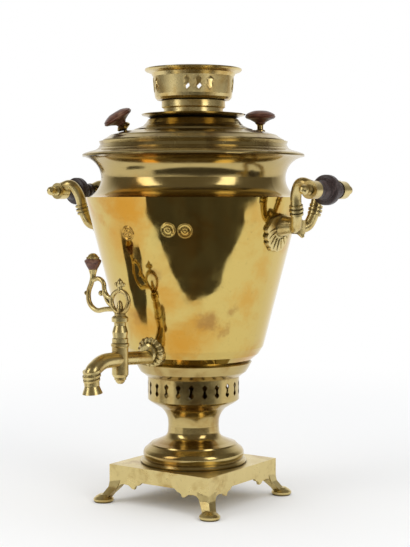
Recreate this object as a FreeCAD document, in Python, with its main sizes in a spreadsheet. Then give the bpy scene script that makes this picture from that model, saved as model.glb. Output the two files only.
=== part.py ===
import FreeCAD, Part
import math
import os
import Sketcher

# Charcoal samovar, in millimetres.
# The origin is on the vertical axis at floor level, +Z is up, the tap points to -Y
# and the handles are at -X and +X.

doc = FreeCAD.newDocument("Samovar")
sheet = doc.addObject("Spreadsheet::Sheet", "Dimensions")
V = FreeCAD.Vector
aliases = []
pieces = []


class Size:
    """A length in millimetres together with the sheet expression that gives it."""

    def __init__(self, value, text):
        self.value = float(value)
        self.text = text

    def __add__(self, other):
        other = as_size(other)
        return Size(self.value + other.value, f"({self.text} + {other.text})")

    def __radd__(self, other):
        return as_size(other) + self

    def __sub__(self, other):
        other = as_size(other)
        return Size(self.value - other.value, f"({self.text} - {other.text})")

    def __rsub__(self, other):
        return as_size(other) - self

    def __mul__(self, other):
        other = as_size(other)
        return Size(self.value * other.value, f"({self.text} * {other.text})")

    def __rmul__(self, other):
        return as_size(other) * self

    def __truediv__(self, other):
        other = as_size(other)
        return Size(self.value / other.value, f"({self.text} / {other.text})")

    def __neg__(self):
        return Size(-self.value, f"(-1 * {self.text})")

    def __float__(self):
        return self.value


def as_size(number):
    if isinstance(number, Size):
        return number
    return Size(number, repr(float(number)))


def dim(alias, number):
    """Write one driving dimension to the sheet and return it."""
    aliases.append(alias)
    line = len(aliases)
    sheet.set(f"A{line}", alias)
    sheet.set(f"B{line}", str(number))
    sheet.setAlias(f"B{line}", alias)
    return Size(number, f"Dimensions.{alias}")


# Sheet metal
wall = dim("wall", 1.4)
running_gap = dim("running_gap", 0.4)

# Plinth
plinth_half = dim("plinth_half", 68.5)
plinth_top = dim("plinth_top", 43.0)
plinth_plate = dim("plinth_plate", 3.5)
apron_wall = dim("apron_wall", 3.5)
apron_low = dim("apron_low", 13.0)
foot_pad_radius = dim("foot_pad_radius", 11.5)
foot_pad_reach = dim("foot_pad_reach", 103.7)
foot_pad_height = dim("foot_pad_height", 9.0)
draught_hole_radius = dim("draught_hole_radius", 40.0)

# Pedestal
foot_bead_radius = dim("foot_bead_radius", 60.5)
foot_torus_radius = dim("foot_torus_radius", 57.5)
foot_crease_radius = dim("foot_crease_radius", 49.9)
foot_crease_height = dim("foot_crease_height", 63.7)
waist_radius = dim("waist_radius", 29.0)
waist_height = dim("waist_height", 86.0)
band_radius = dim("band_radius", 52.2)
band_low = dim("band_low", 116.0)
band_high = dim("band_high", 142.0)
slot_count = dim("slot_count", 22)
slot_low = dim("slot_low", 121.7)
slot_high = dim("slot_high", 137.8)
slot_width = dim("slot_width", 5.6)

# Body
saucer_radius = dim("saucer_radius", 66.5)
saucer_high = dim("saucer_high", 158.5)
body_foot_radius = dim("body_foot_radius", 64.5)
body_low = dim("body_low", 160.0)
cone_low_radius = dim("cone_low_radius", 79.8)
cone_low = dim("cone_low", 177.0)
shoulder_radius = dim("shoulder_radius", 122.6)
shoulder_height = dim("shoulder_height", 345.6)
neck_radius = dim("neck_radius", 104.4)
neck_height = dim("neck_height", 367.0)
neck_low_bend = dim("neck_low_bend", 21.7)
neck_high_bend = dim("neck_high_bend", 24.5)
lip_radius = dim("lip_radius", 125.6)
lip_height = dim("lip_height", 391.3)
ring_radius = dim("ring_radius", 106.8)
ring_high = dim("ring_high", 408.2)

# Flue
chamber_radius = dim("chamber_radius", 38.0)
flue_radius = dim("flue_radius", 30.0)
flue_low = dim("flue_low", 149.0)
flue_high = dim("flue_high", 452.0)
grate_high = dim("grate_high", 158.0)

# Lid
lid_radius = dim("lid_radius", 102.4)
lid_bead_radius = dim("lid_bead_radius", 65.1)
lid_dome_radius = dim("lid_dome_radius", 51.5)
lid_dome_height = dim("lid_dome_height", 435.0)
knob_reach = dim("knob_reach", 77.0)
knob_azimuth = dim("knob_azimuth", 43.6)
knob_radius = dim("knob_radius", 17.5)
knob_lean = dim("knob_lean", 32.0)
post_radius = dim("post_radius", 3.5)
stud_radius = dim("stud_radius", 2.0)
knob_foot = dim("knob_foot", 428.6)

# Crown
plate_radius = dim("plate_radius", 59.0)
collar_radius = dim("collar_radius", 35.9)
cup_low_radius = dim("cup_low_radius", 43.8)
cup_high_radius = dim("cup_high_radius", 46.2)
cup_low = dim("cup_low", 455.0)
total_height = dim("total_height", 490.0)
flange_radius = dim("flange_radius", 54.9)
piercing_width = dim("piercing_width", 6.6)
piercing_height = dim("piercing_height", 14.5)
piercing_middle = dim("piercing_middle", 471.5)
piercing_start = dim("piercing_start", 26.0)
piercing_step = dim("piercing_step", 17.0)

# Tap
plug_reach = dim("plug_reach", 134.0)
pipe_height = dim("pipe_height", 174.5)
pipe_radius = dim("pipe_radius", 7.2)
water_radius = dim("water_radius", 4.0)
pipe_rise = dim("pipe_rise", 4.0)
plug_radius = dim("plug_radius", 5.6)
plug_clearance = dim("plug_clearance", 0.06)
rosette_radius = dim("rosette_radius", 17.0)
rosette_height = dim("rosette_height", 177.0)
rosette_flutes = dim("rosette_flutes", 16)
shank_radius = dim("shank_radius", 6.0)
key_low = dim("key_low", 220.0)
key_wire = dim("key_wire", 2.5)
key_knob_reach = dim("key_knob_reach", 36.8)
key_knob_low = dim("key_knob_low", 268.0)
key_knob_radius = dim("key_knob_radius", 9.0)

# Handles
leaf_low = dim("leaf_low", 286.0)
leaf_high = dim("leaf_high", 326.0)
leaf_half_width = dim("leaf_half_width", 22.0)
leaf_thickness = dim("leaf_thickness", 4.0)
eye_reach = dim("eye_reach", 173.0)
eye_height = dim("eye_height", 353.0)
eye_radius = dim("eye_radius", 9.6)
eye_offset = dim("eye_offset", 30.0)
eye_half_width = dim("eye_half_width", 6.4)
rod_radius = dim("rod_radius", 2.6)
rod_half_length = dim("rod_half_length", 47.0)
grip_half_length = dim("grip_half_length", 23.4)
grip_disc_radius = dim("grip_disc_radius", 16.2)
screw_radius = dim("screw_radius", 2.2)
arm_radius = dim("arm_radius", 5.9)


def keep(piece, label):
    """Name a finished sub-part and put it on the list that is written out."""
    piece.Label = label
    pieces.append(piece)
    return piece


def new_body(name):
    return doc.addObject("PartDesign::Body", name)


def origin_plane(body, role):
    for feature in body.Origin.OriginFeatures:
        if feature.Role == role:
            return feature
    raise ValueError(role)


def new_sketch(body, name, role, offset=None):
    """Empty sketch on an origin plane, moved along the plane's normal by offset."""
    sketch = body.newObject("Sketcher::SketchObject", name)
    sketch.AttachmentSupport = [(origin_plane(body, role), "")]
    sketch.MapMode = "FlatFace"
    if offset is not None:
        sketch.AttachmentOffset = FreeCAD.Placement(V(0, 0, float(offset)), FreeCAD.Rotation())
        sketch.setExpression(".AttachmentOffset.Base.z", offset.text)
    return sketch


def bound_constraint(sketch, kind, where, size):
    """Add a driving constraint and bind its value to the sheet."""
    number = sketch.addConstraint(Sketcher.Constraint(kind, *where, float(size)))
    sketch.setExpression(f"Constraints[{number}]", size.text)


def pin_point(sketch, edge, end, across, up):
    """Fix one end of an edge at (across, up) from the sketch's origin."""
    vertical_axis = -2
    horizontal_axis = -1
    if float(across) == 0:
        sketch.addConstraint(Sketcher.Constraint("PointOnObject", edge, end, vertical_axis))
    else:
        bound_constraint(sketch, "DistanceX", (edge, end), as_size(across))
    if float(up) == 0:
        sketch.addConstraint(Sketcher.Constraint("PointOnObject", edge, end, horizontal_axis))
    else:
        bound_constraint(sketch, "DistanceY", (edge, end), as_size(up))


def add_bend(sketch, start, finish, bend):
    """Arc from start to finish. A positive bend turns left on the way, a negative one right."""
    radius = abs(float(bend))
    chord = finish - start
    left = V(-chord.y, chord.x, 0).normalize()
    rise = math.sqrt(radius ** 2 - (chord.Length / 2) ** 2)
    centre = (start + finish) * 0.5 + left * math.copysign(rise, float(bend))
    if float(bend) < 0:
        start, finish = finish, start
    first = math.atan2(start.y - centre.y, start.x - centre.x)
    last = math.atan2(finish.y - centre.y, finish.x - centre.x)
    circle = Part.Circle(centre, V(0, 0, 1), radius)
    edge = sketch.addGeometry(Part.ArcOfCircle(circle, first, last), False)
    size = as_size(bend)
    bound_constraint(sketch, "Radius", (edge,), -size if float(bend) < 0 else size)
    if float(bend) < 0:
        return edge, 2, 1
    return edge, 1, 2


def draw(sketch, corners):
    """Closed outline through (across, up) corners. A third value bends the edge to the next corner."""
    points = [V(float(corner[0]), float(corner[1]), 0) for corner in corners]
    edges = []
    for number, corner in enumerate(corners):
        here = points[number]
        there = points[(number + 1) % len(points)]
        if len(corner) == 3:
            edges.append(add_bend(sketch, here, there, corner[2]))
        else:
            line = sketch.addGeometry(Part.LineSegment(here, there), False)
            edges.append((line, 1, 2))
    for number, (edge, start, finish) in enumerate(edges):
        after, after_start, after_finish = edges[(number + 1) % len(edges)]
        sketch.addConstraint(Sketcher.Constraint("Coincident", edge, finish, after, after_start))
        pin_point(sketch, edge, start, corners[number][0], corners[number][1])
    return sketch


def draw_circle(sketch, across, up, radius):
    spot = V(float(across), float(up), 0)
    circle = sketch.addGeometry(Part.Circle(spot, V(0, 0, 1), float(radius)), False)
    centre = 3
    pin_point(sketch, circle, centre, across, up)
    bound_constraint(sketch, "Radius", (circle,), as_size(radius))


def spun_body(name, corners):
    """Body of revolution about the vertical axis, from (radius, height) corners."""
    body = new_body(name)
    sketch = draw(new_sketch(body, "Profile", "XZ_Plane"), corners)
    turn = body.newObject("PartDesign::Revolution", "Spun")
    turn.Profile = sketch
    turn.ReferenceAxis = (sketch, ["V_Axis"])
    turn.Angle = 360
    return body


def padded(body, sketch, length, reverse=False, both=False):
    pad = body.newObject("PartDesign::Pad", "Pad")
    pad.Profile = sketch
    pad.Length = float(length)
    pad.setExpression("Length", as_size(length).text)
    pad.Reversed = reverse
    pad.Midplane = both
    return pad


def pocketed(body, sketch, length, reverse=False, both=False):
    pocket = body.newObject("PartDesign::Pocket", "Pocket")
    pocket.Profile = sketch
    pocket.Length = float(length)
    pocket.setExpression("Length", as_size(length).text)
    pocket.Reversed = reverse
    pocket.Midplane = both
    return pocket


def around(body, feature, count, sweep=360):
    """Repeat a feature round the vertical axis."""
    pattern = body.newObject("PartDesign::PolarPattern", "Round")
    pattern.Originals = [feature]
    pattern.Axis = (origin_plane(body, "Z_Axis"), [""])
    pattern.Angle = sweep
    pattern.Occurrences = int(float(count))
    body.Tip = pattern
    return pattern


def combined(kind, name, base, tool):
    """Part boolean of two document objects: Cut, Fuse or Common."""
    result = doc.addObject(f"Part::{kind}", name)
    result.Base = base
    result.Tool = tool
    return result


def computed(name, shape):
    """Feature whose shape is worked out here, for swept castings."""
    feature = doc.addObject("Part::Feature", name)
    feature.Shape = shape
    feature.Placement = shape.Placement
    return feature


def make_plinth():
    """Square cast base: hollow plate, scalloped apron, four splayed feet."""
    body = new_body("Plinth")
    square = new_sketch(body, "Square", "XY_Plane", apron_low)
    half = plinth_half
    draw(square, [(-half, -half), (half, -half), (half, half), (-half, half)])
    padded(body, square, plinth_top - apron_low)

    inner = plinth_half - apron_wall
    hollow = new_sketch(body, "Hollow", "XY_Plane", apron_low)
    draw(hollow, [(-inner, -inner), (inner, -inner), (inner, inner), (-inner, inner)])
    pocketed(body, hollow, plinth_top - plinth_plate - apron_low, reverse=True)

    for role in ("XZ_Plane", "YZ_Plane"):
        scallops = new_sketch(body, "Scallops", role)
        draw(scallops, [
            (-61.0, 12.0), (-56.0, 18.0, -9.0), (-45.5, 22.0, -9.0), (-37.0, 18.5),
            (-33.0, 18.0, -5.5), (-27.0, 23.0), (-23.0, 26.5),
            (23.0, 26.5), (27.0, 23.0, -5.5), (33.0, 18.0),
            (37.0, 18.5, -9.0), (45.5, 22.0, -9.0), (56.0, 18.0), (61.0, 12.0),
        ])
        pocketed(body, scallops, plinth_half * 3, both=True)

    draught = new_sketch(body, "Draught", "XY_Plane", plinth_top)
    draw_circle(draught, 0, 0, draught_hole_radius)
    pocketed(body, draught, plinth_plate * 2)
    body.Tip = body.Group[-1]

    leg = computed("Leg", cabriole_leg())
    legs = [leg]
    for quarter in (1, 2, 3):
        legs.append(computed("Leg", leg.Shape.rotated(V(0, 0, 0), V(0, 0, 1), 90 * quarter)))
    whole = doc.addObject("Part::MultiFuse", "PlinthCasting")
    whole.Shapes = [body] + legs
    return keep(whole, "plinth")


def diamond(reach, height, radial, tangential):
    """Horizontal diamond wire at a distance along the corner's diagonal."""
    corner = [(radial, 0), (0, tangential), (-radial, 0), (0, -tangential)]
    points = []
    for along, across in corner:
        out = reach + along
        points.append(V((out - across) / math.sqrt(2), (out + across) / math.sqrt(2), height))
    return Part.makePolygon(points + [points[0]])


def cabriole_leg():
    """Splayed leg under one corner of the plinth, ending in a round pad."""
    pad_reach = float(foot_pad_reach)
    pad_high = float(foot_pad_height)
    sections = [
        diamond(83.5, 39.0, 11.5, 12.0),
        diamond(85.0, 28.0, 10.8, 11.5),
        diamond(90.0, 17.0, 8.2, 9.0),
        diamond(97.0, 10.0, 7.2, 8.0),
        diamond(pad_reach - 2.0, 5.0, 7.5, 8.0),
    ]
    leg = Part.makeLoft(sections, True, True)
    pad_radius = float(foot_pad_radius)
    outline = [
        V(0, 0, 0), V(pad_radius - 1.5, 0, 0), V(pad_radius, 0, 2.0), V(pad_radius, 0, 4.0),
        V(pad_radius - 2.5, 0, 6.5), V(5.0, 0, pad_high), V(0, 0, pad_high), V(0, 0, 0),
    ]
    pad = Part.Face(Part.makePolygon(outline)).revolve(V(0, 0, 0), V(0, 0, 1), 360)
    pad.translate(V(pad_reach / math.sqrt(2), pad_reach / math.sqrt(2), 0))
    return leg.fuse(pad).removeSplitter()


def make_pedestal():
    """Foot ring, waisted stem and the perforated draught band above it."""
    top = plinth_top
    keep(spun_body("FootRing", [
        (foot_bead_radius - 14, top), (foot_bead_radius - 0.8, top), (foot_bead_radius, top + 2.2),
        (foot_bead_radius - 1.5, top + 4.4), (foot_torus_radius - 1.0, top + 5.5),
        (foot_torus_radius, top + 9.5, 7.0), (foot_crease_radius + 4.6, top + 17.0),
        (foot_crease_radius, foot_crease_height), (foot_crease_radius - 4.5, foot_crease_height),
        (foot_crease_radius - 4.5, top + 10),
    ]), "pedestal_foot_ring")

    low = foot_crease_height
    keep(spun_body("Neck", [
        (foot_crease_radius - 0.6, low), (foot_crease_radius - 1.2, low + 1.5),
        (43.2, low + 3.3), (35.3, 70.6, -9.5), (waist_radius + 0.5, 79.0),
        (waist_radius, waist_height), (waist_radius + 0.4, 92.0, -24.0), (38.0, 106.5),
        (49.4, 113.5, 12.0), (band_radius, band_low),
        (band_radius - wall, band_low), (48.0, 114.8), (36.6, 108.0), (29.4, 99.0),
        (waist_radius - wall, 90.0), (waist_radius - wall, 80.0), (29.2, 73.6), (34.4, 69.0), (42.4, 65.4),
        (46.0, low),
    ]), "pedestal_neck")

    band = spun_body("AirBand", [
        (band_radius - wall, band_low), (band_radius, band_low),
        (band_radius, band_high), (band_radius - wall, band_high),
    ])
    slot = new_sketch(band, "Keyhole", "XZ_Plane")
    half = slot_width / 2
    waist = slot_width / 4
    middle = (slot_low + slot_high) / 2
    draw(slot, [
        (0, slot_low), (half, slot_low + 2.6), (half, slot_low + 4.4), (waist, middle - 1.6),
        (waist, middle + 1.6), (half, slot_high - 4.4), (half, slot_high - 2.6), (0, slot_high),
        (-half, slot_high - 2.6), (-half, slot_high - 4.4), (-waist, middle + 1.6),
        (-waist, middle - 1.6), (-half, slot_low + 4.4), (-half, slot_low + 2.6),
    ])
    cut = pocketed(band, slot, band_radius * 1.2, reverse=True)
    around(band, cut, slot_count)
    keep(band, "air_band")


def make_saucer():
    low = band_high
    keep(spun_body("Saucer", [
        (band_radius - 8, low), (band_radius + 0.4, low), (60.6, 148.0), (64.2, 154.0),
        (saucer_radius, saucer_high), (body_foot_radius, body_low),
        (body_foot_radius - 3.0, body_low), (62.0, 155.5), (58.6, 149.8),
        (50.6, low + wall), (band_radius - 8, low + wall),
    ]), "base_saucer")


def body_outside():
    """Outer profile of the body from its foot up to the lip."""
    return [
        (body_foot_radius, body_low), (74.5, 168.6), (cone_low_radius, cone_low),
        (shoulder_radius, shoulder_height, -neck_low_bend), (neck_radius, neck_height, -neck_high_bend),
        (lip_radius, lip_height),
    ]


def tap_hole(body, radius):
    """Sketch of the shank hole in the body wall."""
    sketch = new_sketch(body, "ShankHole", "XZ_Plane")
    draw_circle(sketch, 0, shank_height(), radius)
    return sketch


def shank_height():
    return rosette_height - 5.3


def make_body():
    """Tapered water body, its floor, and the ring that carries the lid."""
    inside = [
        (lip_radius, lip_height + 1.2), (117.5, 390.3), (107.6, 381.5), (103.0, 370.5), (102.8, 362.5),
        (106.0, 352.2), (113.0, 345.9), (shoulder_radius - 1.9, shoulder_height - 1.5),
        (cone_low_radius - wall - 0.1, cone_low), (73.0, 169.9), (body_foot_radius - wall, body_low + 1.6),
        (body_foot_radius - wall, body_low),
    ]
    body = spun_body("BodyShell", body_outside() + inside)
    pocketed(body, tap_hole(body, shank_radius), plug_reach, reverse=True)
    for end in (False, True):
        holes = new_sketch(body, "ScrewHoles", "YZ_Plane")
        for height in screw_heights():
            draw_circle(holes, 0, height, screw_radius)
        pocketed(body, holes, lip_radius, reverse=end)
    keep(body, "body_shell")

    floor_top = body_low + wall
    inner = chamber_radius + wall
    keep(spun_body("Floor", [
        (inner, body_low - 3), (inner + wall, body_low - 3), (inner + wall, body_low),
        (body_foot_radius - wall, body_low), (body_foot_radius - wall, floor_top), (inner, floor_top),
    ]), "body_floor")

    seat = lip_height + 1.2
    keep(spun_body("RimRing", [
        (lip_radius - 6, seat), (lip_radius - 0.6, seat), (lip_radius, seat + 0.9),
        (lip_radius - 1.2, seat + 2.0), (119.0, 396.3), (110.6, 398.6), (107.4, 401.0),
        (105.4, 404.6), (ring_radius, ring_high), (98.0, ring_high), (98.0, ring_high - wall),
        (103.9, ring_high - wall), (103.9, 403.6), (106.0, 399.8), (110.0, 397.0), (118.6, 394.8),
    ]), "body_rim_ring")


def screw_heights():
    return (leaf_low + 13.0, leaf_low + 31.0)


def make_flue():
    """Charcoal tube up the middle, with the grate in its foot."""
    low = flue_low
    ledge = grate_high - 3.0
    keep(spun_body("FireTube", [
        (chamber_radius, low), (chamber_radius + wall, low), (chamber_radius + wall, 262.0),
        (flue_radius + wall, 330.0), (flue_radius + wall, flue_high), (flue_radius, flue_high),
        (flue_radius, 330.0), (chamber_radius, 262.0), (chamber_radius, ledge),
        (chamber_radius - 2.5, ledge), (chamber_radius - 2.5, ledge - 2.0), (chamber_radius, ledge - 2.0),
    ]), "fire_tube")
    grate = spun_body("Grate", [
        (0, ledge), (chamber_radius - 0.5, ledge), (chamber_radius - 0.5, grate_high), (0, grate_high),
    ])
    hole = new_sketch(grate, "AshHole", "XY_Plane", grate_high)
    draw_circle(hole, 0, 0, 4.0)
    pocketed(grate, hole, 6.0)
    for reach, count in ((15.0, 6), (28.0, 12)):
        ring_hole = new_sketch(grate, "AshHole", "XY_Plane", grate_high)
        draw_circle(ring_hole, reach, 0, 4.0)
        around(grate, pocketed(grate, ring_hole, 6.0), count)
    keep(grate, "fire_grate")


def lid_spot(side):
    """Foot of a lid knob: side +1 is the right knob and -1 the left one."""
    angle = math.radians(float(knob_azimuth))
    reach = side * float(knob_reach)
    return V(reach * math.cos(angle), reach * math.sin(angle), 0)


def make_lid():
    """Stepped lid with two knobs on posts."""
    hole = flue_radius + wall + 0.8
    seat = ring_high
    lid = spun_body("Lid", [
        (lid_radius, seat), (lid_radius, seat + 1.8), (96.6, 413.4), (94.4, 415.2), (87.0, 417.3),
        (79.0, 419.4), (68.4, 420.4), (67.2, 421.9), (lid_bead_radius, 422.4), (57.2, 425.8),
        (54.4, 428.6), (lid_dome_radius, 432.6), (48.0, lid_dome_height), (hole, lid_dome_height),
        (hole, lid_dome_height - wall), (47.2, lid_dome_height - wall), (50.2, 431.4), (53.1, 427.6),
        (56.4, 424.6), (66.0, 420.2), (67.6, 418.9), (78.8, 417.9), (86.6, 415.8), (92.4, 413.9),
        (94.6, 411.4), (94.6, seat - 5.2), (96.2, seat - 5.2), (96.2, seat),
    ])
    for side in (1, -1):
        spot = lid_spot(side)
        hole_sketch = new_sketch(lid, "PostHole", "XY_Plane", lid_dome_height)
        draw_circle(hole_sketch, spot.x, spot.y, stud_radius)
        pocketed(lid, hole_sketch, 30.0)
    keep(lid, "lid_shell")

    nuts = []
    for name, side, lean in (("right", 1, 0.0), ("left", -1, float(knob_lean))):
        spot = lid_spot(side)
        place = FreeCAD.Placement(spot, FreeCAD.Rotation(V(0, 0, 1), float(knob_azimuth)))
        lean_turn = FreeCAD.Placement(V(0, 0, 0), FreeCAD.Rotation(V(0, 1, 0), side * lean), V(0, 0, 420.8))
        keep(computed("Post", lid_post(lean, place * lean_turn, spot)), f"lid_knob_post_{name}")
        knob = lid_knob()
        knob.Placement = place * lean_turn
        keep(computed("Knob", knob), f"lid_knob_{name}")
        nut = hexagon_nut(3.6, float(stud_radius), 2.4)
        nut.translate(spot + V(0, 0, 415.0))
        nuts.append(nut)
    keep(computed("LidNuts", Part.makeCompound(nuts)), "lid_knob_nuts")


def lid_post(lean, place, spot):
    """Brass post of a lid knob on its stud. The leaning one ends in a bell-shaped ferrule."""
    stud = Part.makeCylinder(float(stud_radius), 8.6, spot + V(0, 0, 412.8), V(0, 0, 1))
    radius = float(post_radius)
    if lean == 0:
        profile = [
            (0, 420.3), (radius + 2.4, 420.3), (radius + 2.0, 421.8), (radius, 423.0), (radius, 427.0),
            (radius + 1.2, float(knob_foot)), (0, float(knob_foot)),
        ]
    else:
        profile = [
            (0, 420.2), (7.4, 423.4), (8.2, 425.0), (6.6, 427.4), (5.2, float(knob_foot)), (0, float(knob_foot)),
        ]
    post = turned(profile, V(0, 0, 0))
    post.Placement = place
    return post.fuse(stud).removeSplitter()


def lid_knob():
    """Turned wooden knob: mushroom with a grooved rim."""
    rim = float(knob_radius)
    low = float(knob_foot)
    return turned([
        (0, low), (5.0, low), (6.4, low + 2.2), (11.5, low + 5.0), (rim - 1.6, low + 6.6), (rim, low + 8.4),
        (rim - 1.0, low + 9.6), (rim - 0.6, low + 10.6), (rim - 3.4, low + 12.6), (rim - 7.0, low + 14.2),
        (7.0, low + 15.2), (0, low + 15.4),
    ], V(0, 0, 0))


def hexagon_nut(half_width, bore, height):
    """Six-sided nut with a plain bore, standing on the origin."""
    corners = []
    for number in range(7):
        angle = math.radians(60 * number)
        corners.append(V(half_width * math.cos(angle), half_width * math.sin(angle), 0))
    blank = Part.Face(Part.makePolygon(corners)).extrude(V(0, 0, height))
    return blank.cut(Part.makeCylinder(bore, height))


def make_crown():
    """Loose teapot stand: drip plate, socket collar and pierced cup."""
    seat = lid_dome_height + running_gap
    hole = flue_radius + wall + 0.6
    keep(spun_body("DripPlate", [
        (hole, seat), (50.0, seat), (plate_radius - 1.0, seat + 2.2), (plate_radius, seat + 3.4),
        (plate_radius - 0.8, seat + 3.8), (49.6, seat + 1.1), (hole, seat + 1.1),
    ]), "drip_plate")

    foot = seat + 1.1
    low_collar = collar_radius - 2.4
    keep(spun_body("Collar", [
        (hole, foot), (low_collar + 1.6, foot), (low_collar, foot + 1.4), (low_collar, 445.2),
        (collar_radius, 446.8), (collar_radius, cup_low - 1.4), (collar_radius - 1.6, cup_low), (hole, cup_low),
    ]), "crown_collar")

    high = total_height
    cup = spun_body("Cup", [
        (hole, cup_low), (41.0, cup_low), (cup_low_radius - 0.6, cup_low + 2.6), (cup_low_radius, cup_low + 6.0),
        (cup_high_radius - 0.6, high - 9.0), (cup_high_radius + 1.6, high - 5.2), (flange_radius - 1.2, high - 3.0),
        (flange_radius, high - 1.4), (flange_radius - 0.6, high), (cup_high_radius + 1.0, high - 2.4),
        (cup_high_radius - 1.6, high - 7.0), (cup_low_radius - wall, cup_low + 6.4),
        (cup_low_radius - 3.4, cup_low + wall + 0.6), (hole, cup_low + wall),
    ])
    keep(combined("Cut", "PiercedCup", cup, computed("Piercings", piercings())), "crown_cup")


def piercings():
    """Shield-shaped holes in the cup's wall, in equal groups of three."""
    half = float(piercing_width) / 2
    rise = float(piercing_height) / 2
    middle = float(piercing_middle)
    shoulder = 3.4
    waist = 1.0
    outline = [
        (0, -rise), (half, shoulder - rise), (half - waist, 0), (half, rise - shoulder), (0, rise),
        (-half, rise - shoulder), (waist - half, 0), (-half, shoulder - rise),
    ]
    corners = [V(across, 0, middle + up) for across, up in outline]
    prism = Part.Face(Part.makePolygon(corners + [corners[0]])).extrude(V(0, -float(flange_radius), 0))
    holes = []
    for group in range(4):
        for place in range(3):
            hole = prism.copy()
            turn = float(piercing_start) + group * 90 + place * float(piercing_step)
            hole.rotate(V(0, 0, 0), V(0, 0, 1), turn)
            holes.append(hole)
    return Part.makeCompound(holes)


def rounded_path(points):
    """Wire of straight runs joined by tangent arcs, each as large as its two runs allow."""
    edges = []
    start = points[0]
    for before, corner, after in zip(points, points[1:], points[2:]):
        into = corner - before
        out = after - corner
        reach = 0.48 * min(into.Length, out.Length)
        half_turn = into.getAngle(out) / 2
        first = corner - into.normalize() * reach
        last = corner + out.normalize() * reach
        radius = reach / math.tan(half_turn)
        toward = ((first + last) * 0.5 - corner).normalize()
        middle = corner + toward * (radius / math.cos(half_turn) - radius)
        edges.append(Part.LineSegment(start, first).toShape())
        edges.append(Part.Arc(first, middle, last).toShape())
        start = last
    edges.append(Part.LineSegment(start, points[-1]).toShape())
    return Part.Wire(edges)


def bent_rod(points, radius):
    """Round rod along a rounded path."""
    section = Part.Wire([Part.Circle(points[0], points[1] - points[0], radius).toShape()])
    return rounded_path(points).makePipeShell([section], True, False)


def spout_points():
    """Centre line of the spout, from the barrel down to the mouth's throat."""
    reach = float(plug_reach)
    return [
        V(0, -reach, 174.4), V(0, -reach - 31, 174.8), V(0, -reach - 48, 165.0), V(0, -reach - 46.6, 151.6),
    ]


def mouth_cone(throat, lip, depth, overlap):
    """Flare in line with the spout's last run, starting inside it by the overlap."""
    before, end = spout_points()[-2:]
    along = (end - before).normalize()
    return Part.makeCone(throat, lip, depth, end - along * overlap, along)


def make_tap():
    """Tap casting with its rosette and back nut, and the plug that turns in it."""
    reach = float(plug_reach)
    slope = math.tan(math.radians(float(pipe_rise)))
    root = V(0, -62.0, float(pipe_height) - (reach - 62.0) * slope)
    outer_end = V(0, -reach, float(pipe_height))
    along = outer_end - root
    pipe = Part.makeCylinder(float(pipe_radius), along.Length, root, along)
    inside_wall = Part.makeBox(60, 60, 60, V(-30, -81.6, 140))
    shank = Part.makeCylinder(float(shank_radius), 44.0, V(0, -48.0, float(shank_height())), V(0, -1, 0))
    barrel_profile = [
        (0, 155.0), (7.2, 155.0), (8.8, 158.0), (8.8, 187.2), (9.7, 188.4), (9.7, 190.6), (8.6, 191.4), (0, 191.4),
    ]
    barrel = turned(barrel_profile, V(0, -reach, 0))
    spout = bent_rod(spout_points(), 8.0)
    casting = pipe.cut(inside_wall).fuse([shank, barrel, spout, mouth_cone(6.9, 10.6, 9.6, 1.2)])
    for height, size in ((167.4, 9.4), (162.6, 9.6), (158.4, 8.9)):
        spot = V(0, -reach - 47.2, height)
        casting = casting.fuse(Part.makeCylinder(size, 2.2, spot, V(0, 0.25, -1)))
    water = Part.makeCylinder(float(water_radius), 92.0, V(0, -47.0, float(shank_height())), V(0, -1, slope))
    spout_bore = bent_rod(spout_points(), 5.2).fuse(mouth_cone(5.2, 9.6, 9.0, 0.0))
    barrel_bore = Part.makeCylinder(float(plug_radius + plug_clearance), 60.0, V(0, -reach, 140), V(0, 0, 1))
    casting = casting.cut([water, spout_bore, barrel_bore]).removeSplitter()
    keep(computed("TapBody", casting), "tap_body")

    nut = hexagon_nut(11.0, float(shank_radius), 5.0)
    nut.Placement = FreeCAD.Placement(V(0, -56.0, float(shank_height())), FreeCAD.Rotation(V(1, 0, 0), 90))
    keep(computed("BackNut", nut), "tap_back_nut")
    make_rosette()
    make_plug()


def turned(profile, foot):
    """Solid of revolution about a vertical axis through foot, from (radius, height) corners."""
    points = [V(radius, 0, height) for radius, height in profile]
    solid = Part.Face(Part.makePolygon(points + [points[0]])).revolve(V(0, 0, 0), V(0, 0, 1), 360)
    solid.translate(foot)
    return solid


def make_rosette():
    """Fluted escutcheon between the pipe and the body wall."""
    blank = doc.addObject("PartDesign::Body", "RosetteBlank")
    rim = rosette_radius
    sketch = draw(new_sketch(blank, "Profile", "XZ_Plane"), [
        (0, -12), (rim, -12), (rim, 1.5), (rim - 3.5, 4.2), (rim - 6.5, 4.0), (10.4, 7.4), (8.4, 8.6), (0, 8.6),
    ])
    turn = blank.newObject("PartDesign::Revolution", "Spun")
    turn.Profile = sketch
    turn.ReferenceAxis = (sketch, ["V_Axis"])
    turn.Angle = 360
    flute = new_sketch(blank, "Flute", "XY_Plane")
    draw_circle(flute, rim + 1.2, 0, 2.0)
    around(blank, pocketed(blank, flute, 60.0, both=True), rosette_flutes)
    blank.Placement = FreeCAD.Placement(V(0, -79.0, float(rosette_height)), FreeCAD.Rotation(V(1, 0, 0), 98))
    seated = combined("Cut", "RosetteSeated", blank, body_form())
    bored = computed("PipeBore", tap_pipe_tool())
    keep(combined("Cut", "Rosette", seated, bored), "tap_rosette")


def tap_pipe_tool():
    """Room for the tap's pipe and shank through the rosette."""
    reach = float(plug_reach)
    slope = math.tan(math.radians(float(pipe_rise)))
    root = V(0, -62.0, float(pipe_height) - (reach - 62.0) * slope)
    along = V(0, -reach, float(pipe_height)) - root
    pipe = Part.makeCylinder(float(pipe_radius), along.Length, root, along)
    return pipe.fuse(Part.makeCylinder(float(shank_radius), 60.0, V(0, -40.0, float(shank_height())), V(0, -1, 0)))


def body_form():
    """Solid form of the body, used to seat castings on its wall."""
    form = spun_body("BodyForm", [(0, body_low)] + body_outside() + [(0, lip_height)])
    return form


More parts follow.
